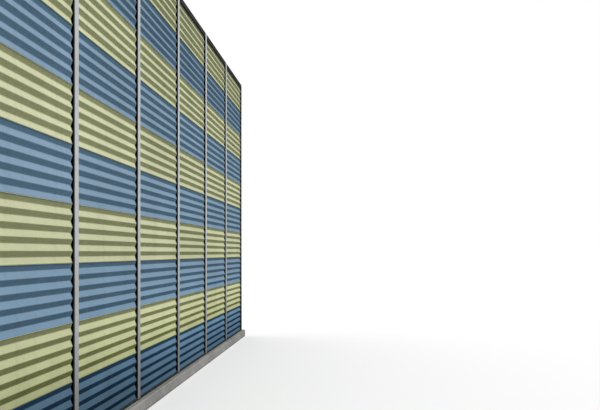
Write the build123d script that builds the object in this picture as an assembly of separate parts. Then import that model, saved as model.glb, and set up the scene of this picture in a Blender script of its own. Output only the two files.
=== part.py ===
from build123d import *
import os

# Highway noise barrier: six bays of louvred sound-absorbing panels between H-section posts,
# cast into a low concrete plinth. Millimetres. The wall runs along X, the road side faces -Y,
# +Z is up, and the origin is the middle of the plinth's underside.

# Layout of the wall
bay_count = 6
bay_length = 2000.0           # centre to centre of the posts
row_count = 10                # panels stacked in each bay
panel_height = 500.0          # pitch of the stacked panels
joint_gap = 0.3               # left between one panel and the next

# H-section post, its flanges parallel to the wall
flange_width = 100.0
flange_thickness = 12.0
web_thickness = 8.0
post_depth = 150.0            # over both flanges
weld_leg = 6.0                # fillet weld between the web and a flange

# Concrete plinth
plinth_height = 130.0
plinth_front = 60.0           # how far it stands out past the posts' flanges, each side
plinth_end = 60.0             # how far it runs on past the end posts
plinth_chamfer = 10.0
pocket_clearance = 0.2        # round each post where it is cast in

# Louvred panel: a folded front sheet on a shallow box, filled with an absorbent slab
panel_thickness = 120.0       # from the louvres' tips to the back sheet
louvre_count = 5              # folds in one panel
louvre_depth = 19.0           # from a valley out to a tip
louvre_sheet = 1.5
pan_sheet = 1.5
pan_end_clearance = 6.0       # from the end of a box to the post's web
louvre_end_clearance = 1.0    # from the end of a folded sheet to the flange's edge
window_lap = 10.0             # how far the folded sheet laps the box's end margin
tongue_width = 30.0           # ridge along the top of each box, which the box above fits over
tongue_height = 8.0
tongue_clearance = 0.5
slab_clearance = 2.0          # round the absorbent slab

# Black rubber
seal_height = 17.0            # bearing strip under the lowest panels
seal_setback = 6.0            # from the panel's faces to the edges of this strip and the top one
gasket_setback = 2.0          # from the flange's edge to the gasket
gasket_weld_gap = 1.0         # from the gasket to the post's weld
packer_height = 42.0          # strip between the top panels and the cap

# Folded channels between the posts: a cap over the top panels and a track under the lowest
channel_sheet = 3.0
cap_height = 66.0
track_height = 30.0
channel_end_clearance = 1.0
lip_clearance = 0.3           # from the channels' lips to the panel's faces

# Derived levels and planes
seal_bottom = plinth_height + channel_sheet
panel_bottom = seal_bottom + seal_height
stack_top = panel_bottom + row_count * panel_height - joint_gap
packer_top = stack_top + packer_height
post_top = packer_top + channel_sheet
channel_half = post_depth / 2 - flange_thickness
half_fold = panel_height / louvre_count / 2
fold_slope = louvre_depth / half_fold
fold_reach = louvre_sheet * (1 + fold_slope ** 2) ** 0.5    # the sheet's thickness measured along Y
tip_y = -panel_thickness / 2
back_y = panel_thickness / 2
valley_y = tip_y + louvre_depth
pan_front_y = valley_y + fold_reach
louvre_length = bay_length - flange_width - 2 * louvre_end_clearance
pan_length = bay_length - web_thickness - 2 * pan_end_clearance
pan_mid_y = (pan_front_y + back_y) / 2
tongue_slope = 2 * tongue_height / tongue_width
groove_depth = tongue_height + tongue_clearance
groove_half = groove_depth / tongue_slope
wall_half = bay_count * bay_length / 2

post_xs = [i * bay_length - wall_half for i in range(bay_count + 1)]
bay_xs = [(i + 0.5) * bay_length - wall_half for i in range(bay_count)]


def plate(x0, x1, y0, y1, z0, z1):
    """A plain block between two corners."""
    return Pos((x0 + x1) / 2, (y0 + y1) / 2, (z0 + z1) / 2) * Box(x1 - x0, y1 - y0, z1 - z0)


def along_wall(points, length):
    """A closed outline of (y, z) points drawn out along X, centred on X = 0."""
    outline = Polyline(*[(0, y, z) for y, z in points], close=True)
    return Pos(-length / 2, 0, 0) * extrude(make_face(outline), amount=length, dir=(1, 0, 0))


def save(shape, name):
    export_step(shape, "parts/" + name + ".step")


def in_each_bay(solid, z=0.0):
    return Compound(children=[Pos(x, 0, z) * solid for x in bay_xs])


# Posts
def post_section(grow=0.0):
    """H section with its weld fillets; grow makes it larger all round."""
    flange_x = flange_width / 2 + grow
    outer_y = post_depth / 2 + grow
    inner_y = channel_half - grow
    web_x = web_thickness / 2 + grow
    quarter = [
        (flange_x, outer_y),
        (flange_x, inner_y),
        (web_x + weld_leg, inner_y),
        (web_x, inner_y - weld_leg),
    ]
    right = quarter + [(x, -y) for x, y in reversed(quarter)]
    return right + [(-x, y) for x, y in reversed(right)]


def upright(points, height):
    """A closed outline of (x, y) points drawn up from Z = 0."""
    return extrude(make_face(Polyline(*points, close=True)), amount=height, dir=(0, 0, 1))


# Plinth with a pocket for each post
def plinth():
    half_y = post_depth / 2 + plinth_front
    half_x = wall_half + flange_width / 2 + plinth_end
    outline = [
        (-half_y, 0),
        (half_y, 0),
        (half_y, plinth_height - plinth_chamfer),
        (half_y - plinth_chamfer, plinth_height),
        (-half_y + plinth_chamfer, plinth_height),
        (-half_y, plinth_height - plinth_chamfer),
    ]
    body = along_wall(outline, 2 * half_x)
    pocket = upright(post_section(pocket_clearance), plinth_height)
    return body - [Pos(x, 0, 0) * pocket for x in post_xs]


# Louvred front sheet
def fold_line():
    """Zigzag of the folded sheet's road side, from the panel's lower edge to its upper one."""
    line = []
    for i in range(louvre_count):
        line.append((tip_y, 2 * i * half_fold))
        line.append((valley_y, (2 * i + 1) * half_fold))
    line.append((tip_y, panel_height - joint_gap))
    return line


def louvre_face():
    """Sheet folded into louvres, with its edges turned back and its two ends closed."""
    top = panel_height - joint_gap
    outer = fold_line()
    turn_y = tip_y + fold_reach + louvre_sheet * fold_slope
    inner = [(turn_y, louvre_sheet)]
    inner += [(y + fold_reach, z) for y, z in outer[1:-1]]
    inner += [(turn_y, top - louvre_sheet)]
    closed_front = [(pan_front_y, 0)] + outer + [(pan_front_y, top)]
    back_side = [(pan_front_y, top - louvre_sheet)] + inner[::-1] + [(pan_front_y, louvre_sheet)]
    sheet = along_wall(closed_front + back_side, louvre_length)
    end = along_wall(closed_front, louvre_sheet)
    end_x = (louvre_length - louvre_sheet) / 2
    return sheet + Pos(-end_x, 0, 0) * end + Pos(end_x, 0, 0) * end


# Box behind the louvres
def pan_outline(inset):
    """Section of the box, with its tongue on top and its groove below, set in all round."""
    low = inset
    top = panel_height - joint_gap - inset
    front = pan_front_y + inset
    back = back_y - inset
    slope_shift = inset * ((1 + tongue_slope ** 2) ** 0.5 - 1)
    rib = tongue_height - slope_shift
    slot = groove_depth + slope_shift
    return [
        (front, low),
        (pan_mid_y - slot / tongue_slope, low),
        (pan_mid_y, low + slot),
        (pan_mid_y + slot / tongue_slope, low),
        (back, low),
        (back, top),
        (pan_mid_y + rib / tongue_slope, top),
        (pan_mid_y, top + rib),
        (pan_mid_y - rib / tongue_slope, top),
        (front, top),
    ]


def back_pan():
    """Sheet box, open to the louvres through a window that leaves a margin at each end."""
    shell = along_wall(pan_outline(0), pan_length)
    inside = along_wall(pan_outline(pan_sheet), pan_length - 2 * pan_sheet)
    window_x = louvre_length / 2 - window_lap
    window_top = panel_height - joint_gap - pan_sheet
    window = plate(-window_x, window_x, pan_front_y, pan_front_y + pan_sheet, pan_sheet, window_top)
    return shell - inside - window


def absorber():
    """Absorbent slab, standing on the box's groove."""
    half = pan_length / 2 - pan_sheet - slab_clearance
    front = pan_front_y + pan_sheet + slab_clearance
    foot = groove_depth + pan_sheet * (1 + tongue_slope ** 2) ** 0.5
    top = panel_height - joint_gap - pan_sheet - slab_clearance
    return plate(-half, half, front, back_y - pan_sheet, foot, top)


# Rubber strips
def bottom_seal():
    half = louvre_length / 2
    return plate(-half, half, tip_y + seal_setback, back_y - seal_setback, seal_bottom, panel_bottom)


def top_packer():
    """Strip between the top panels and the cap, grooved for the boxes' tongues."""
    front = tip_y + seal_setback
    back = back_y - seal_setback
    outline = [
        (front, stack_top),
        (pan_mid_y - groove_half, stack_top),
        (pan_mid_y, stack_top + groove_depth),
        (pan_mid_y + groove_half, stack_top),
        (back, stack_top),
        (back, packer_top),
        (front, packer_top),
    ]
    return along_wall(outline, louvre_length)


def gasket(y0, y1):
    """Upright strip in a post's channel, on the +X side of a post at X = 0."""
    x0 = web_thickness / 2 + weld_leg + gasket_weld_gap
    x1 = flange_width / 2 - gasket_setback
    return plate(x0, x1, y0, y1, plinth_height, packer_top)


def gaskets(y0, y1):
    strip = gasket(y0, y1)
    other = mirror(strip, Plane.YZ)
    starts = [Pos(x, 0, 0) * strip for x in post_xs[:-1]]
    ends = [Pos(x, 0, 0) * other for x in post_xs[1:]]
    return Compound(children=starts + ends)


# Folded channels
def folded_channel(web_z, height):
    """Channel as deep as the posts, its lips turned in to the panel. It hangs down from web_z
    where the height is positive, and stands up from it where it is negative."""
    sheet = channel_sheet if height > 0 else -channel_sheet
    face = post_depth / 2
    inner = face - channel_sheet
    lip = back_y + lip_clearance
    edge = web_z - height
    right = [
        (face, web_z),
        (face, edge),
        (lip, edge),
        (lip, edge + sheet),
        (inner, edge + sheet),
        (inner, web_z - sheet),
    ]
    outline = right + [(-y, z) for y, z in reversed(right)]
    return along_wall(outline, bay_length - flange_width - 2 * channel_end_clearance)


os.makedirs("parts", exist_ok=True)
save(plinth(), "plinth")

post = upright(post_section(), post_top)
for i, x in enumerate(post_xs):
    save(Pos(x, 0, 0) * post, "post_" + str(i + 1))

face = louvre_face()
pan = back_pan()
slab = absorber()
for row in range(row_count):
    z = panel_bottom + row * panel_height
    save(in_each_bay(face, z), "louvre_row_%02d" % (row + 1))
    save(in_each_bay(pan, z), "back_pan_row_%02d" % (row + 1))

slabs = [
    Pos(x, 0, panel_bottom + row * panel_height) * slab for row in range(row_count) for x in bay_xs
]
save(Compound(children=slabs), "absorber_slabs")
save(in_each_bay(bottom_seal()), "bottom_seals")
save(in_each_bay(top_packer()), "top_packers")
save(gaskets(-channel_half, pan_front_y), "front_gaskets")
save(gaskets(back_y, channel_half), "rear_gaskets")
save(in_each_bay(folded_channel(post_top, cap_height)), "top_caps")
save(in_each_bay(folded_channel(plinth_height, -track_height)), "bottom_tracks")
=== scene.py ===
import math

import bmesh
import bpy
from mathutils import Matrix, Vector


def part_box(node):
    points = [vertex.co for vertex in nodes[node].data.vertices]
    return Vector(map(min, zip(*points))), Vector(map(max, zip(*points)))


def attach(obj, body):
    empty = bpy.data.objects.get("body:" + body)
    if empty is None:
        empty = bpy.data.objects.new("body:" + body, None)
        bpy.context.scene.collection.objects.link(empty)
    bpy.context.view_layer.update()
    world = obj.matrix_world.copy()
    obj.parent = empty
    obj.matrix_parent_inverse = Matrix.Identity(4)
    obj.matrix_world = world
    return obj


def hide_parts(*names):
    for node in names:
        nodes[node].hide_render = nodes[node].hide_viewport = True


# Looks of the highway noise barrier: six bays of louvred panels between steel posts.
# Metres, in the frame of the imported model: the wall runs along X and the road side faces -Y.
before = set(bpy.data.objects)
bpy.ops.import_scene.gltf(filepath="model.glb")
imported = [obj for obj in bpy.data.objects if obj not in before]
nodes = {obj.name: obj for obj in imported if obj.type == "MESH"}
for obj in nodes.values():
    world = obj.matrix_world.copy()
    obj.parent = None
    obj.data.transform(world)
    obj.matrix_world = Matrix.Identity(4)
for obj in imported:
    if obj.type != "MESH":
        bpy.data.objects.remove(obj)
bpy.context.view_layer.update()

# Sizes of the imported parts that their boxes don't give
LOUVRES_A_PANEL = 5
LOUVRE_DEPTH = 0.019
SHEET = 0.0015                # thickness of the folded sheet
FLANGE_THICKNESS = 0.012

# Bends of the folded sheet: inside radii, and straight steps in an arc
BEND_RADIUS = 0.0025
EDGE_RADIUS = 0.0015
ARC_STEPS = 4

# Perforation of the louvres' faces that look down, painted on, darker as painted shade in the band and in
# the holes
HOLES_START = 0.555           # as a share of a louvre's height, which has its valley at one half
HOLES_HEIGHT = 0.39           # as a share too
HOLE_LINES = 7
HOLE_RADIUS = 0.334           # in hole pitches
PLAIN_END = 0.03              # from a sheet's end to the first holes
PERFORATED_SHADE_TONE = 0.86
HOLE_SHADE_TONE = 0.25

# Rivets of the boxes, and screws and washers of the cap and the track
RIVET_RADIUS = 0.0055
RIVET_HEIGHT = 0.002
RIVET_SIDES = 10
RIVET_INSET = 0.035           # from the ends of the folded sheets in front
RIVETS_AN_END = 4
WASHER_RADIUS = 0.0095
WASHER_HEIGHT = 0.0015
WASHER_SIDES = 16
SCREW_RADIUS = 0.0065
SCREW_HEIGHT = 0.005
SCREW_SIDES = 6
SCREW_INSET = 0.12            # from the flange's edge
SCREWS_A_BAY = 4

# Sealant bead at the posts' feet
BEAD_WIDTH = 0.009
BEAD_HEIGHT = 0.012

# Edge rounding on the parts that stay as modelled
STEEL_EDGE = 0.0015
SHEET_EDGE = 0.0007
CONCRETE_EDGE = 0.004
EDGE_SEGMENTS = 2
WELD_DISTANCE = 0.00001
SHARP_ANGLE = math.radians(30)

# Colours, linear. The louvres have faded where they face up and hold their colour where they face down,
# where it is also deepened as painted shade.
YELLOW = (0.572, 0.590, 0.386)
YELLOW_KEPT_SHADED = (0.546, 0.577, 0.311)
BLUE = (0.222, 0.318, 0.417)
BLUE_KEPT_SHADED = (0.185, 0.330, 0.468)
YELLOW_HIGH = 0.98            # tone of the two highest rows against those below
BLUE_HIGH = 0.86
POST_GREY = (0.525, 0.550, 0.560)
CHANNEL_DARK = (0.015, 0.019, 0.015)
CONCRETE = (0.268, 0.265, 0.255)
ZINC = (0.40, 0.42, 0.43)
FASTENER_ZINC = (0.46, 0.47, 0.47)
RUBBER = (0.008, 0.009, 0.010)
SEALANT = (0.018, 0.018, 0.017)
WOOL = (0.045, 0.045, 0.047)

# Colours of dirt and wear, some of them used for painted shade too
DUST = (0.340, 0.325, 0.290)
STREAK_AND_SHADE = (0.110, 0.108, 0.100)
CHANNEL_STREAK = (0.070, 0.072, 0.068)
CORNER_DIRT_AND_SHADE = (0.020, 0.020, 0.019)
FOOT_DIRT_AND_SHADE = (0.035, 0.033, 0.030)
LEDGE_DIRT = (0.10, 0.098, 0.09)
JOINT_LINE = (0.030, 0.030, 0.028)
DAMP = (0.09, 0.088, 0.082)
PORE = (0.06, 0.058, 0.055)
LIME = (0.42, 0.41, 0.39)
RUST = (0.12, 0.065, 0.035)
WHITE_RUST = (0.60, 0.61, 0.60)

# Road dirt and painted shade near the ground: how strong it is at the foot, and how far up it reaches
LOUVRE_GRIME_AND_SHADE = (0.66, 0.85)
POST_GRIME_AND_SHADE = (0.46, 2.6)
POST_FOOT_GRIME_AND_SHADE = (0.54, 1.15)
BACK_GRIME = (0.55, 0.45)

# Other dirt, and painted shade at the sheets' ends and at the posts' feet: how far it stays at its
# strongest, and how far it reaches
CORNER_FULL = 0.004           # from the end of a folded sheet
CORNER_REACH = 0.016
FOOT_FULL = 0.004             # above the plinth, on the posts
FOOT_REACH = 0.035
DAMP_FULL = 0.015             # above the floor, on the plinth
DAMP_REACH = 0.05

# Floor and light
FLOOR_SIZE = 400.0
FLOOR_SEEN = 0.80             # pale floor that the camera sees
FLOOR_BOUNCE = 0.08           # floor that lights the wall from below
SUN_ELEVATION = math.radians(48)
SUN_TURN = math.radians(8)    # from square on to the wall, towards its far end
SUN_SOFTNESS = math.radians(40)
SUN_LEVEL = 0.80
SKY_LEVEL = 0.62
SKY_BEHIND = 0.4              # more sky light from behind the wall, for its back

# The camera stands on the road side, level, and looks along the wall
IMAGE_WIDTH = 600
IMAGE_CENTRE = (300, 205)
VANISHING_X = 356.0           # where the wall's level lines meet in the photograph, pixels
VANISHING_Y = 252.4
FOCAL_PIXELS = 817.0
SENSOR_WIDTH = 36.0
CAMERA_BEFORE_POST = 6.783    # along the wall from the camera to the second post
CAMERA_FROM_LOUVRES = 2.377
CAMERA_ABOVE_PANELS = 1.588   # above the lowest panels' underside
VIEW_DISTANCE = 500.0


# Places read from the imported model
def names_starting(prefix):
    return sorted(name for name in nodes if name.startswith(prefix))


def middle_x(name):
    low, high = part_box(name)
    return (low.x + high.x) / 2


POSTS = names_starting("post_")
LOUVRE_ROWS = names_starting("louvre_row_")
PAN_ROWS = names_starting("back_pan_row_")
post_xs = [middle_x(name) for name in POSTS]
bay_length = post_xs[1] - post_xs[0]
bay_xs = [x + bay_length / 2 for x in post_xs[:-1]]

row_low, row_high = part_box(LOUVRE_ROWS[0])
row_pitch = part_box(LOUVRE_ROWS[1])[0].z - row_low.z
row_height = row_high.z - row_low.z
panel_bottom = row_low.z
tip_y = row_low.y
sheet_back_y = row_high.y
louvre_length = 2 * (row_high.x - bay_xs[-1])
post_low, post_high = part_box(POSTS[0])
flange_width = post_high.x - post_low.x
back_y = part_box(PAN_ROWS[0])[1].y
plinth_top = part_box("plinth")[1].z
cap_low, cap_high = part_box("top_caps")
track_low, track_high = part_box("bottom_tracks")


class Shading:
    """Short calls that build the nodes of a material or of the world."""

    def __init__(self, owner):
        owner.use_nodes = True
        self.tree = owner.node_tree
        self.tree.nodes.clear()

    def put(self, socket, value):
        """Links an output to a socket, or sets the socket's own value."""
        if isinstance(value, bpy.types.NodeSocket):
            self.tree.links.new(value, socket)
        elif isinstance(value, tuple) and len(value) == 3 and socket.type == "RGBA":
            socket.default_value = (*value, 1.0)
        else:
            socket.default_value = value

    def add(self, kind, values=(), **settings):
        """New node, with values for its first sockets."""
        node = self.tree.nodes.new(kind)
        for key, value in settings.items():
            setattr(node, key, value)
        for socket, value in zip(node.inputs, values):
            self.put(socket, value)
        return node

    def math(self, operation, a, b=0.0):
        return self.add("ShaderNodeMath", (a, b), operation=operation).outputs[0]

    def separate(self, vector):
        return self.add("ShaderNodeSeparateXYZ", (vector,)).outputs


class Surface(Shading):
    """One procedural material, with its coordinates and the textures that it uses."""

    def __init__(self, name, roughness=0.5, metallic=0.0, specular=0.5):
        self.material = bpy.data.materials.new(name)
        super().__init__(self.material)
        self.shader = self.add("ShaderNodeBsdfPrincipled")
        self.shader.inputs["Roughness"].default_value = roughness
        self.shader.inputs["Metallic"].default_value = metallic
        self.shader.inputs["Specular IOR Level"].default_value = specular
        self.add("ShaderNodeOutputMaterial", (self.shader.outputs[0],))
        self.place = self.add("ShaderNodeTexCoord").outputs["Object"]
        self.x, self.y, self.z = self.separate(self.place)
        normal = self.add("ShaderNodeNewGeometry").outputs["Normal"]
        self.facing_x, _, self.up = self.separate(normal)

    def product(self, *factors):
        result = factors[0]
        for factor in factors[1:]:
            result = self.math("MULTIPLY", result, factor)
        return result

    def without(self, share):
        """What is left of one when a share is taken away."""
        return self.math("SUBTRACT", 1.0, share)

    def off_middle(self, value):
        """Place within each whole step of a value, counted from the step's middle."""
        return self.math("SUBTRACT", self.math("FRACT", value), 0.5)

    def remap(self, value, low, high, to_low=0.0, to_high=1.0):
        """Value between low and high, taken smoothly to between to_low and to_high."""
        values = (value, low, high, to_low, to_high)
        return self.add("ShaderNodeMapRange", values, interpolation_type="SMOOTHSTEP").outputs[0]

    def by_facing(self, down, up):
        """One value on faces that look down and another on faces that look up."""
        return self.remap(self.up, -0.25, 0.25, down, up)

    def stretched(self, stretch):
        if stretch == (1, 1, 1):
            return self.place
        node = self.add("ShaderNodeVectorMath", (self.place,), operation="MULTIPLY")
        node.inputs[1].default_value = stretch
        return node.outputs[0]

    def noise(self, scale, detail=3.0, stretch=(1, 1, 1)):
        node = self.add("ShaderNodeTexNoise")
        self.put(node.inputs["Vector"], self.stretched(stretch))
        self.put(node.inputs["Scale"], scale)
        self.put(node.inputs["Detail"], detail)
        return node.outputs[0]

    def uneven(self, least, most, scale, detail=3.0):
        """Factor that wanders between least and most."""
        return self.remap(self.noise(scale, detail), 0.3, 0.7, least, most)

    def cells(self, scale, output="Distance"):
        node = self.add("ShaderNodeTexVoronoi")
        self.put(node.inputs["Vector"], self.place)
        self.put(node.inputs["Scale"], scale)
        return node.outputs[output]

    def tint(self, colour, factor):
        """Colour made lighter or darker by a factor."""
        node = self.add("ShaderNodeVectorMath", (colour,), operation="SCALE")
        self.put(node.inputs["Scale"], factor)
        return node.outputs[0]

    def mix(self, factor, a, b):
        node = self.add("ShaderNodeMix", data_type="RGBA")
        for index, value in ((0, factor), (6, a), (7, b)):
            self.put(node.inputs[index], value)
        return node.outputs[2]

    def bump(self, height, distance, strength, before=None):
        """Normal of a bumpy skin, on top of the one before it."""
        node = self.add("ShaderNodeBump")
        self.put(node.inputs["Height"], height)
        self.put(node.inputs["Distance"], distance)
        self.put(node.inputs["Strength"], strength)
        if before is not None:
            self.put(node.inputs["Normal"], before)
        return node.outputs[0]

    def finish(self, colour, roughness=None, normal=None):
        for name, value in (("Base Color", colour), ("Roughness", roughness), ("Normal", normal)):
            if value is not None:
                self.put(self.shader.inputs[name], value)
        return self.material


# Weathering that several materials share
def streaks(look, amount):
    """Rain streaks: noise drawn out downwards."""
    wide = look.remap(look.noise(1.0, 4.0, (14, 14, 0.7)), 0.50, 0.72)
    fine = look.remap(look.noise(1.0, 3.0, (60, 60, 1.6)), 0.52, 0.70)
    both = look.math("MAXIMUM", wide, look.product(fine, 0.6))
    return look.product(both, amount)


def grime_and_ground_shade(look, amount, reach):
    """Road dirt with painted shade near the ground: strongest at the foot, growing weaker upwards to
    nothing with an uneven edge.
    """
    height = look.math("ADD", look.z, look.product(look.uneven(-0.07, 0.07, 2.2, 4.0), reach))
    return look.remap(height, plinth_top, plinth_top + reach, amount, 0.0)


def dust_on_top(look, amount):
    """Dust that lies in patches on faces that look up."""
    patches = look.remap(look.noise(5.0, 5.0), 0.35, 0.75, 0.35, 1.0)
    return look.product(look.remap(look.up, 0.15, 0.9), patches, amount)


def panels_up(look):
    """Height counted in panels from the lowest one's foot."""
    return look.math("DIVIDE", look.math("SUBTRACT", look.z, panel_bottom), row_pitch)


def bays_along(look):
    """Place along the wall counted in bays from the first post."""
    return look.math("DIVIDE", look.math("SUBTRACT", look.x, post_xs[0]), bay_length)


def one_a_panel(look, above, spread):
    """A tone near one that differs from panel to panel."""
    bay = look.math("FLOOR", bays_along(look))
    row = look.math("FLOOR", above)
    panel = look.add("ShaderNodeCombineXYZ", (bay, row))
    value = look.add("ShaderNodeTexWhiteNoise", (panel.outputs[0],)).outputs[0]
    return look.remap(value, 0.0, 1.0, 1.0 - spread, 1.0 + spread)


# Powder-coated louvres
def faded_and_shaded_paint(look, above, under_cap, faded, kept_and_shaded):
    """Paint paler where it faces up and deeper where it faces down, the deeper colour partly painted shade;
    paler under the cap, as painted light; deeper near the foot, most where it faces down, as painted shade.
    """
    # Paler where faces look up, deeper where they look down: faded by the sun, and painted shade on the
    # faces that look down
    faded_and_lit = look.product(look.by_facing(0.0, 1.0), look.remap(above, 0.0, 5.0, 0.4, 1.0))
    # Paler under the cap: painted light against the cap's shade
    faded_and_lit = look.math("MAXIMUM", faded_and_lit, under_cap)
    # Deeper colour towards the foot, most on faces that look down: painted shade near the ground
    foot_shade_down = look.remap(above, 0.6, 2.5, 1.70, 1.0)
    foot_shade_up = look.remap(above, 0.3, 2.2, 1.25, 1.0)
    foot_shade = look.by_facing(foot_shade_down, foot_shade_up)
    return look.add("ShaderNodeGamma", (look.mix(faded_and_lit, kept_and_shaded, faded), foot_shade)).outputs[0]


def wall_tone(look, above, along, high_tone):
    """Changes of the paint's tone from panel to panel, up the wall and along it, with painted shade near
    the ground and on the lowest row of the nearer bays.
    """
    panel_tone = one_a_panel(look, above, 0.035)
    clouds = look.uneven(0.95, 1.05, 0.9, 4.0)
    mottle = look.uneven(0.975, 1.025, 45.0)
    # Darker towards the foot: road film and painted shade near the ground
    ground_shade_and_film = look.remap(above, 0.5, 5.5, 0.87, 1.0)
    high_rows = look.remap(above, 7.8, 8.3, 1.0, high_tone)
    later_bays = look.product(look.remap(along, 1.6, 2.4), look.remap(above, 0.6, 3.0, 0.18, -0.07))
    # Lowest row darker in the nearer bays and lighter in the farther ones: painted shade on the nearer bays
    lowest_row_shade = look.remap(above, 0.95, 1.05, 1.0, 0.0)
    lowest_row_shade = look.product(lowest_row_shade, look.remap(along, 1.2, 3.6, -0.20, 0.14))
    later_bays = look.math("ADD", later_bays, 1.0)
    lowest_row_shade = look.math("ADD", lowest_row_shade, 1.0)
    return look.product(panel_tone, clouds, mottle, ground_shade_and_film, high_rows, later_bays, lowest_row_shade)


def perforation(look, fold, from_bay_middle, under_cap):
    """Where a sheet is perforated: clear of its folds, its ends and the cap. Gives the holes too."""
    perforated = look.product(
        look.math("GREATER_THAN", fold, HOLES_START),
        look.math("LESS_THAN", fold, HOLES_START + HOLES_HEIGHT),
        look.without(under_cap),
        look.math("LESS_THAN", from_bay_middle, (louvre_length / 2 - PLAIN_END) / bay_length),
        look.math("LESS_THAN", look.up, -0.2),
    )
    line_step = HOLES_HEIGHT / HOLE_LINES
    hole_pitch = row_pitch / LOUVRES_A_PANEL * line_step
    column = look.off_middle(look.math("DIVIDE", look.x, hole_pitch))
    line = look.off_middle(look.math("DIVIDE", look.math("SUBTRACT", fold, HOLES_START), line_step))
    from_hole = look.math("ADD", look.math("POWER", column, 2.0), look.math("POWER", line, 2.0))
    holes = look.product(look.math("LESS_THAN", from_hole, HOLE_RADIUS ** 2), perforated)
    return perforated, holes


def louvre_paint(name, faded, kept_and_shaded, high_tone):
    look = Surface(name, specular=0.0)
    above = panels_up(look)
    along = bays_along(look)
    folds = look.math("MULTIPLY", above, float(LOUVRES_A_PANEL))
    fold = look.math("FRACT", folds)
    from_bay_middle = look.math("ABSOLUTE", look.off_middle(along))
    # The highest fold, under the cap, is painted paler and left without holes: painted light against the
    # cap's shade
    under_cap = look.math("GREATER_THAN", above, len(LOUVRE_ROWS) - 0.5 / LOUVRES_A_PANEL)
    paint = faded_and_shaded_paint(look, above, under_cap, faded, kept_and_shaded)
    paint = look.tint(paint, wall_tone(look, above, along, high_tone))

    # Dust, streaks, paint rubbed through on the folds, road dirt with painted shade near the ground, and
    # dirt with painted shade at the sheets' ends
    dust = dust_on_top(look, 0.16)
    on_tip = look.remap(look.math("ABSOLUTE", look.off_middle(folds)), 0.478, 0.497)
    rubbed = look.product(on_tip, look.remap(look.noise(70.0, 4.0), 0.52, 0.66), 0.55)
    # Darker towards the foot, most where faces look down: road dirt and painted shade near the ground
    spray_and_shade = look.product(grime_and_ground_shade(look, *LOUVRE_GRIME_AND_SHADE), look.by_facing(1.0, 0.80))
    # Darker at the sheets' ends beside the flanges: dirt and painted shade
    to_end = look.math("SUBTRACT", louvre_length / 2 / bay_length, from_bay_middle)
    corner_dirt_and_shade = look.remap(to_end, CORNER_FULL / bay_length, CORNER_REACH / bay_length, 0.90, 0.0)
    corner_dirt_and_shade = look.product(corner_dirt_and_shade, look.remap(look.noise(25.0, 4.0), 0.3, 0.6, 0.7, 1.0))
    colour = look.mix(dust, paint, DUST)
    colour = look.mix(streaks(look, 0.12), colour, STREAK_AND_SHADE)
    colour = look.mix(rubbed, colour, DUST)
    colour = look.tint(colour, look.without(spray_and_shade))
    colour = look.mix(corner_dirt_and_shade, colour, CORNER_DIRT_AND_SHADE)

    perforated, holes = perforation(look, fold, from_bay_middle, under_cap)
    # Darker perforated band and holes: painted shade on the faces that look down and in the holes
    colour = look.tint(colour, look.remap(perforated, 0.0, 1.0, 1.0, PERFORATED_SHADE_TONE))
    colour = look.tint(colour, look.remap(holes, 0.0, 1.0, 1.0, HOLE_SHADE_TONE))

    dull = look.math("ADD", look.uneven(0.55, 0.66, 18.0), look.product(dust, 1.2))
    dull = look.math("ADD", dull, look.product(spray_and_shade, 0.3))
    peel = look.bump(look.noise(420.0, 2.0), 0.0002, 0.5)
    wave = look.bump(look.noise(1.0, 1.0, (2.2, 1, 7)), 0.004, 0.6, before=peel)
    return look.finish(colour, dull, wave)


# Painted steel of the posts, with painted shade, nearly black, on the flange edges that face the louvres
def post_paint():
    look = Surface("post_paint", specular=0.2)
    # Flange edges that face the louvres on the road side, painted nearly black as painted shade
    edge_shade = look.product(
        look.math("ABSOLUTE", look.facing_x),
        look.product(
            look.math("GREATER_THAN", look.x, post_xs[0]),
            look.math("LESS_THAN", look.x, post_xs[-1]),
        ),
        look.math("LESS_THAN", look.y, 0.0),
    )
    tone = look.product(
        look.uneven(0.93, 1.05, 1.3, 4.0),
        look.uneven(0.97, 1.03, 30.0),
        look.remap(edge_shade, 0.5, 0.95, 1.0, 0.06),
    )
    # Darker towards the foot: road dirt and painted shade near the ground
    grime_and_shade = grime_and_ground_shade(look, *POST_GRIME_AND_SHADE)
    # Dark line at the posts' feet: dirt and painted contact shade
    foot_line = look.remap(look.z, plinth_top + FOOT_FULL, plinth_top + FOOT_REACH, 0.75, 0.0)
    foot = look.product(foot_line, look.remap(look.noise(35.0, 4.0), 0.35, 0.6, 0.7, 1.0))
    chips = look.remap(look.cells(26.0), 0.06, 0.03)
    chips = look.product(chips, look.remap(look.noise(3.0), 0.56, 0.62))
    colour = look.tint(POST_GREY, tone)
    colour = look.mix(streaks(look, 0.30), colour, STREAK_AND_SHADE)
    colour = look.mix(grime_and_shade, colour, STREAK_AND_SHADE)
    # Darker still near the foot: road dirt and painted shade
    colour = look.tint(colour, look.without(grime_and_ground_shade(look, *POST_FOOT_GRIME_AND_SHADE)))
    colour = look.mix(look.product(chips, 0.8), colour, RUST)
    colour = look.mix(foot, colour, FOOT_DIRT_AND_SHADE)
    dull = look.math("ADD", look.uneven(0.38, 0.52, 14.0), look.product(grime_and_shade, 0.4))
    return look.finish(colour, dull, look.bump(look.noise(300.0, 2.0), 0.0002, 0.5))


# Dark paint of the cap and the track
def channel_paint():
    look = Surface("channel_paint", specular=0.03)
    colour = look.tint(CHANNEL_DARK, look.uneven(0.85, 1.2, 4.0, 4.0))
    colour = look.mix(dust_on_top(look, 0.12), colour, DUST)
    colour = look.mix(streaks(look, 0.15), colour, CHANNEL_STREAK)
    dull = look.uneven(0.60, 0.75, 16.0)
    return look.finish(colour, dull, look.bump(look.noise(350.0, 2.0), 0.0002, 0.5))


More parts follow.
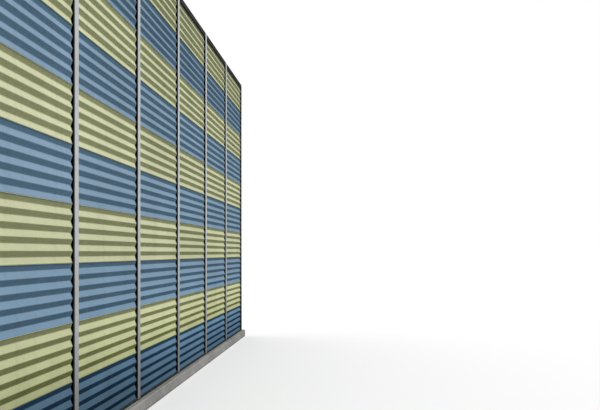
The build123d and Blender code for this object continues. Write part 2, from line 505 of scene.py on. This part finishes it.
# Cast concrete of the plinth
def concrete():
    look = Surface("cast_concrete", roughness=0.9, specular=0.2)
    tone = look.product(
        look.uneven(0.86, 1.14, 1.1, 5.0),
        look.uneven(0.90, 1.10, 14.0, 5.0),
        look.uneven(0.90, 1.10, 160.0),
    )
    pores = look.remap(look.cells(55.0), 0.20, 0.12)
    pores = look.product(pores, look.remap(look.noise(6.0), 0.45, 0.6))
    small_pores = look.remap(look.cells(190.0), 0.22, 0.14)
    small_pores = look.product(small_pores, look.remap(look.noise(11.0), 0.4, 0.6))
    ledge = look.product(look.remap(look.up, 0.3, 0.9), look.uneven(0.25, 0.5, 3.0, 5.0))
    damp_height = look.math("ADD", look.z, look.product(look.noise(4.0, 4.0), 0.03))
    damp = look.remap(damp_height, DAMP_FULL, DAMP_REACH, 0.5, 0.0)
    lime = look.product(look.remap(look.noise(2.3, 5.0, (1, 1, 3)), 0.58, 0.72), 0.35)
    colour = look.tint(CONCRETE, tone)
    colour = look.mix(streaks(look, 0.35), colour, STREAK_AND_SHADE)
    colour = look.mix(lime, colour, LIME)
    colour = look.mix(ledge, colour, LEDGE_DIRT)
    colour = look.mix(damp, colour, DAMP)
    colour = look.mix(look.math("MAXIMUM", pores, small_pores), colour, PORE)
    grit = look.bump(look.noise(240.0, 4.0), 0.0006, 0.6)
    pitted = look.without(look.math("MAXIMUM", pores, look.product(small_pores, 0.5)))
    return look.finish(colour, normal=look.bump(pitted, 0.0015, 0.8, before=grit))


# Galvanised sheet of the boxes, with a dark line where one panel stands on the next
def zinc_sheet():
    look = Surface("galvanised_sheet", metallic=0.55)
    above = panels_up(look)
    from_joint = look.math("ABSOLUTE", look.off_middle(look.math("ADD", above, 0.5)))
    joint = look.remap(from_joint, 0.004, 0.012, 0.85, 0.0)
    near_joint = look.remap(look.math("FRACT", above), 0.80, 1.0, 0.0, 0.30)
    runs = look.product(near_joint, look.remap(look.noise(1.0, 4.0, (9, 9, 1.2)), 0.42, 0.62))
    flakes = look.add("ShaderNodeSeparateColor", (look.cells(62.0, "Color"),)).outputs[0]
    tone = look.product(
        look.remap(flakes, 0.0, 1.0, 0.93, 1.06),
        look.uneven(0.90, 1.08, 1.2, 4.0),
        one_a_panel(look, above, 0.08),
    )
    white_rust = look.product(look.remap(look.noise(3.5, 5.0), 0.58, 0.70), 0.35)
    colour = look.tint(ZINC, tone)
    colour = look.mix(white_rust, colour, WHITE_RUST)
    colour = look.mix(streaks(look, 0.35), colour, STREAK_AND_SHADE)
    colour = look.mix(grime_and_ground_shade(look, *BACK_GRIME), colour, STREAK_AND_SHADE)
    colour = look.mix(runs, colour, STREAK_AND_SHADE)
    colour = look.mix(joint, colour, JOINT_LINE)
    dull = look.math("ADD", look.remap(flakes, 0.0, 1.0, 0.38, 0.50), look.product(white_rust, 0.6))
    wave = look.bump(look.noise(1.0, 1.0, (2.5, 1, 4)), 0.005, 0.6)
    return look.finish(colour, dull, wave)


# Small parts and fillings
def rubber():
    look = Surface("black_rubber", specular=0.03)
    colour = look.tint(RUBBER, look.uneven(0.7, 1.4, 20.0, 4.0))
    colour = look.mix(dust_on_top(look, 0.3), colour, DUST)
    dull = look.uneven(0.65, 0.85, 12.0)
    return look.finish(colour, dull, look.bump(look.noise(150.0), 0.0003, 0.6))


def mineral_wool():
    look = Surface("mineral_wool", roughness=0.95)
    fibres = look.noise(1.0, 5.0, (90, 90, 700))
    colour = look.tint(WOOL, look.remap(fibres, 0.35, 0.65, 0.6, 1.5))
    return look.finish(colour, normal=look.bump(fibres, 0.001, 0.8))


def sealant():
    look = Surface("sealant", specular=0.05)
    colour = look.tint(SEALANT, look.uneven(0.6, 1.6, 40.0, 4.0))
    dull = look.uneven(0.6, 0.8, 25.0)
    return look.finish(colour, dull, look.bump(look.noise(90.0), 0.0006, 0.7))


def fastener_zinc():
    look = Surface("fastener_zinc", metallic=0.8)
    colour = look.tint(FASTENER_ZINC, look.uneven(0.7, 1.15, 60.0))
    return look.finish(colour, look.uneven(0.35, 0.5, 80.0))


# Shapes
def in_scene(name, data):
    """New object with this data, linked to the scene."""
    thing = bpy.data.objects.new(name, data)
    bpy.context.scene.collection.objects.link(thing)
    return thing


def add_piece(name, mesh_builder, material):
    """Object made from a bmesh, riding on the frame."""
    shape = bmesh.new()
    mesh_builder(shape)
    bmesh.ops.recalc_face_normals(shape, faces=shape.faces)
    mesh = bpy.data.meshes.new(name)
    shape.to_mesh(mesh)
    shape.free()
    for face in mesh.polygons:
        face.use_smooth = True
    mesh.set_sharp_from_angle(angle=SHARP_ANGLE)
    mesh.materials.append(material)
    piece = in_scene(name, mesh)
    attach(piece, "root")
    return piece


def rounded(corners):
    """Outline of (y, z) points from (y, z, radius) corners, with an arc at each that has a radius."""
    outline = []
    for i, (y, z, radius) in enumerate(corners):
        if radius == 0:
            outline.append((y, z))
            continue
        back = (corners[i - 1][0] - y, corners[i - 1][1] - z)
        ahead = (corners[i + 1][0] - y, corners[i + 1][1] - z)
        back_angle = math.atan2(back[1], back[0])
        ahead_angle = math.atan2(ahead[1], ahead[0])
        opening = (ahead_angle - back_angle + math.pi) % (2 * math.pi) - math.pi
        middle = back_angle + opening / 2
        to_centre = radius / math.sin(abs(opening) / 2)
        centre = (y + to_centre * math.cos(middle), z + to_centre * math.sin(middle))
        half_turn = (math.pi - abs(opening)) / 2 * (1 if opening > 0 else -1)
        for step in range(ARC_STEPS + 1):
            angle = middle + math.pi + half_turn * (2 * step / ARC_STEPS - 1)
            outline.append((centre[0] + radius * math.cos(angle), centre[1] + radius * math.sin(angle)))
    return outline


def louvre_outlines():
    """Outer and inner outlines of the folded sheet, from its lower edge to its upper one."""
    half_fold = row_pitch / LOUVRES_A_PANEL / 2
    slope = LOUVRE_DEPTH / half_fold
    sheet_reach = SHEET * math.sqrt(1 + slope ** 2)
    turn_y = tip_y + sheet_reach + SHEET * slope
    valley_y = tip_y + LOUVRE_DEPTH
    outer = [(sheet_back_y, 0, 0), (tip_y, 0, EDGE_RADIUS + SHEET)]
    inner = [(sheet_back_y, SHEET, 0), (turn_y, SHEET, EDGE_RADIUS)]
    for fold in range(1, 2 * LOUVRES_A_PANEL):
        z = fold * half_fold
        is_tip = fold % 2 == 0
        y = tip_y if is_tip else valley_y
        outer.append((y, z, BEND_RADIUS + (SHEET if is_tip else 0)))
        inner.append((y + sheet_reach, z, BEND_RADIUS + (0 if is_tip else SHEET)))
    outer += [(tip_y, row_height, EDGE_RADIUS + SHEET), (sheet_back_y, row_height, 0)]
    inner += [(turn_y, row_height - SHEET, EDGE_RADIUS), (sheet_back_y, row_height - SHEET, 0)]
    return rounded(outer), rounded(inner)


def drawn_out(shape, outline, half_length, x, z):
    """Skin of an outline drawn along X, closed at both ends. Gives its two end rings."""
    rings = []
    for end in (x - half_length, x + half_length):
        rings.append([shape.verts.new((end, y, z + height)) for y, height in outline])
    for i in range(len(outline) - 1):
        shape.faces.new((rings[0][i], rings[0][i + 1], rings[1][i + 1], rings[1][i]))
    for ring in rings:
        shape.faces.new(ring)
    return rings


def louvre_row(name, material):
    """The folded sheets of one row, in place of the plain ones."""
    outer, inner = louvre_outlines()
    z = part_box(name)[0].z

    def build(shape):
        for x in bay_xs:
            outside = drawn_out(shape, outer, louvre_length / 2, x, z)
            inside = drawn_out(shape, inner, louvre_length / 2 - SHEET, x, z)
            rim_out = (outside[0][0], outside[0][-1], outside[1][-1], outside[1][0])
            rim_in = (inside[0][0], inside[0][-1], inside[1][-1], inside[1][0])
            for i in range(4):
                j = (i + 1) % 4
                shape.faces.new((rim_out[i], rim_out[j], rim_in[j], rim_in[i]))

    piece = add_piece(name + "_folded", build, material)
    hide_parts(name)


def joined(shape, rings):
    """Skin between closed rings of points, with a face across the first and the last."""
    for low, high in zip(rings, rings[1:]):
        for i in range(len(low)):
            j = (i + 1) % len(low)
            shape.faces.new((low[i], low[j], high[j], high[i]))
    shape.faces.new(rings[0])
    shape.faces.new(rings[-1])


def turned(shape, centre, facing, profile, sides):
    """Small solid turned about the Y axis: profile is (radius, height) pairs, facing -1 or 1."""
    rings = []
    for radius, height in profile:
        ring = []
        for i in range(sides):
            angle = 2 * math.pi * i / sides
            x = centre[0] + radius * math.cos(angle)
            z = centre[2] + radius * math.sin(angle)
            ring.append(shape.verts.new((x, centre[1] + facing * height, z)))
        rings.append(ring)
    joined(shape, rings)


def pan_rivets(shape):
    """Rivets up both ends of each box's back sheet."""
    profile = [
        (RIVET_RADIUS, 0),
        (RIVET_RADIUS * 0.85, RIVET_HEIGHT * 0.6),
        (RIVET_RADIUS * 0.4, RIVET_HEIGHT),
    ]
    end_x = louvre_length / 2 - RIVET_INSET
    for row in range(len(PAN_ROWS)):
        for x in bay_xs:
            for side in (-1, 1):
                for i in range(RIVETS_AN_END):
                    z = panel_bottom + row_pitch * (row + (i + 0.5) / RIVETS_AN_END)
                    turned(shape, (x + side * end_x, back_y, z), 1, profile, RIVET_SIDES)


def channel_screws(shape):
    """Hexagon screws with washers on the faces of the caps and the tracks."""
    washer = [(WASHER_RADIUS, 0), (WASHER_RADIUS, WASHER_HEIGHT)]
    head = [
        (SCREW_RADIUS, WASHER_HEIGHT),
        (SCREW_RADIUS, SCREW_HEIGHT),
        (SCREW_RADIUS * 0.8, SCREW_HEIGHT * 1.15),
    ]
    levels = ((cap_low.z + cap_high.z) / 2, (track_low.z + track_high.z) / 2)
    span = bay_length - flange_width - 2 * SCREW_INSET
    for x in bay_xs:
        for i in range(SCREWS_A_BAY):
            screw_x = x - span / 2 + span * i / (SCREWS_A_BAY - 1)
            for z in levels:
                for y, facing in ((cap_low.y, -1), (cap_high.y, 1)):
                    turned(shape, (screw_x, y, z), facing, washer, WASHER_SIDES)
                    turned(shape, (screw_x, y, z), facing, head, SCREW_SIDES)


def foot_beads(shape):
    """Sealant bead round the outer flanges where each post enters the plinth."""
    section = [
        (0, 0),
        (BEAD_WIDTH, 0),
        (BEAD_WIDTH * 0.75, BEAD_HEIGHT * 0.45),
        (BEAD_WIDTH * 0.3, BEAD_HEIGHT * 0.85),
        (0, BEAD_HEIGHT),
    ]
    half = flange_width / 2
    face_y = post_high.y
    inner_y = face_y - FLANGE_THICKNESS
    corners = [(-half, inner_y, -1, 0), (-half, face_y, -1, 1), (half, face_y, 1, 1), (half, inner_y, 1, 0)]
    for post_x in post_xs:
        for side in (-1, 1):
            rings = []
            for corner_x, corner_y, out_x, out_y in corners:
                ring = []
                for reach, height in section:
                    x = post_x + corner_x + out_x * reach
                    y = side * (corner_y + out_y * reach)
                    ring.append(shape.verts.new((x, y, plinth_top + height)))
                rings.append(ring)
            joined(shape, rings)


def dress(name, material, edge=0):
    """Finish for a part that stays as modelled: its material, and slightly rounded edges."""
    node = nodes[name]
    for slot in node.material_slots:
        slot.material = material
    if edge:
        weld = node.modifiers.new("weld", "WELD")
        weld.merge_threshold = WELD_DISTANCE
        bevel = node.modifiers.new("edges", "BEVEL")
        bevel.width = edge
        bevel.segments = EDGE_SEGMENTS
        bevel.limit_method = "ANGLE"
        bevel.angle_limit = SHARP_ANGLE
        bevel.harden_normals = True


# Stage: floor, light and camera
def seen_directly(shading):
    """One where the ray comes from the camera, a reflection or a transmission, otherwise nought."""
    path = shading.add("ShaderNodeLightPath").outputs
    seen = shading.math("MAXIMUM", path["Is Camera Ray"], path["Is Glossy Ray"])
    return shading.math("MAXIMUM", seen, path["Is Transmission Ray"])


def grey(level):
    return (level, level, level)


def make_floor():
    """Plain floor that looks pale and lights the wall only a little."""
    half = FLOOR_SIZE / 2
    corners = [(-half, -half, 0), (half, -half, 0), (half, half, 0), (-half, half, 0)]
    mesh = bpy.data.meshes.new("floor")
    mesh.from_pydata(corners, [], [(0, 1, 2, 3)])
    material = bpy.data.materials.new("floor")
    shading = Shading(material)
    bounce = shading.add("ShaderNodeBsdfDiffuse", (grey(FLOOR_BOUNCE),))
    pale = shading.add("ShaderNodeBsdfDiffuse", (grey(FLOOR_SEEN),))
    mix = shading.add("ShaderNodeMixShader", (seen_directly(shading), bounce.outputs[0], pale.outputs[0]))
    shading.add("ShaderNodeOutputMaterial", (mix.outputs[0],))
    mesh.materials.append(material)
    floor = in_scene("floor", mesh)


def make_world():
    """Sky that is white where it is seen, and lights the wall more from behind."""
    world = bpy.data.worlds.new("studio")
    bpy.context.scene.world = world
    shading = Shading(world)
    direction = shading.add("ShaderNodeTexCoord").outputs["Generated"]
    behind = shading.separate(direction)[1]
    level = shading.add("ShaderNodeMapRange", (behind, 0.0, 1.0, SKY_LEVEL, SKY_LEVEL + SKY_BEHIND))
    sky = shading.add("ShaderNodeBackground", (grey(1), level.outputs[0]))
    white = shading.add("ShaderNodeBackground", (grey(1), 1.0))
    mix = shading.add("ShaderNodeMixShader", (seen_directly(shading), sky.outputs[0], white.outputs[0]))
    shading.add("ShaderNodeOutputWorld", (mix.outputs[0],))


def make_sun():
    light = bpy.data.lights.new("key", "SUN")
    light.energy = SUN_LEVEL * math.pi
    light.angle = SUN_SOFTNESS
    sun = in_scene("key", light)
    sun.rotation_euler = (math.pi / 2 - SUN_ELEVATION, 0, SUN_TURN)


def make_camera():
    data = bpy.data.cameras.new("camera")
    data.sensor_fit = "HORIZONTAL"
    data.sensor_width = SENSOR_WIDTH
    data.lens = FOCAL_PIXELS / IMAGE_WIDTH * SENSOR_WIDTH
    data.shift_y = (VANISHING_Y - IMAGE_CENTRE[1]) / IMAGE_WIDTH
    data.clip_end = VIEW_DISTANCE
    towards_wall = math.atan((VANISHING_X - IMAGE_CENTRE[0]) / FOCAL_PIXELS)
    camera = in_scene("camera", data)
    camera.location = (
        post_xs[1] - CAMERA_BEFORE_POST,
        tip_y - CAMERA_FROM_LOUVRES,
        panel_bottom + CAMERA_ABOVE_PANELS,
    )
    camera.rotation_euler = (math.pi / 2, 0, towards_wall - math.pi / 2)
    bpy.context.scene.camera = camera


# The wall: rows of folded sheets, blue and yellow by turns, and the parts that stay as modelled
yellow_paint = louvre_paint("louvre_yellow", YELLOW, YELLOW_KEPT_SHADED, YELLOW_HIGH)
blue_paint = louvre_paint("louvre_blue", BLUE, BLUE_KEPT_SHADED, BLUE_HIGH)
for number, row_name in enumerate(LOUVRE_ROWS, start=1):
    if number % 2:
        louvre_row(row_name, blue_paint)
    else:
        louvre_row(row_name, yellow_paint)

grey_paint = post_paint()
for post_name in POSTS:
    dress(post_name, grey_paint, STEEL_EDGE)
zinc = zinc_sheet()
for pan_name in PAN_ROWS:
    dress(pan_name, zinc, SHEET_EDGE)
dark_paint = channel_paint()
for channel_name in ("top_caps", "bottom_tracks"):
    dress(channel_name, dark_paint, STEEL_EDGE)
dress("plinth", concrete(), CONCRETE_EDGE)
black = rubber()
for rubber_name in ("bottom_seals", "top_packers", "front_gaskets", "rear_gaskets"):
    dress(rubber_name, black)
dress("absorber_slabs", mineral_wool())

add_piece("pan_rivets", pan_rivets, fastener_zinc())
add_piece("channel_screws", channel_screws, dark_paint)
add_piece("post_foot_beads", foot_beads, sealant())

make_floor()
make_world()
make_sun()
make_camera()
bpy.context.scene.view_settings.view_transform = "Standard"
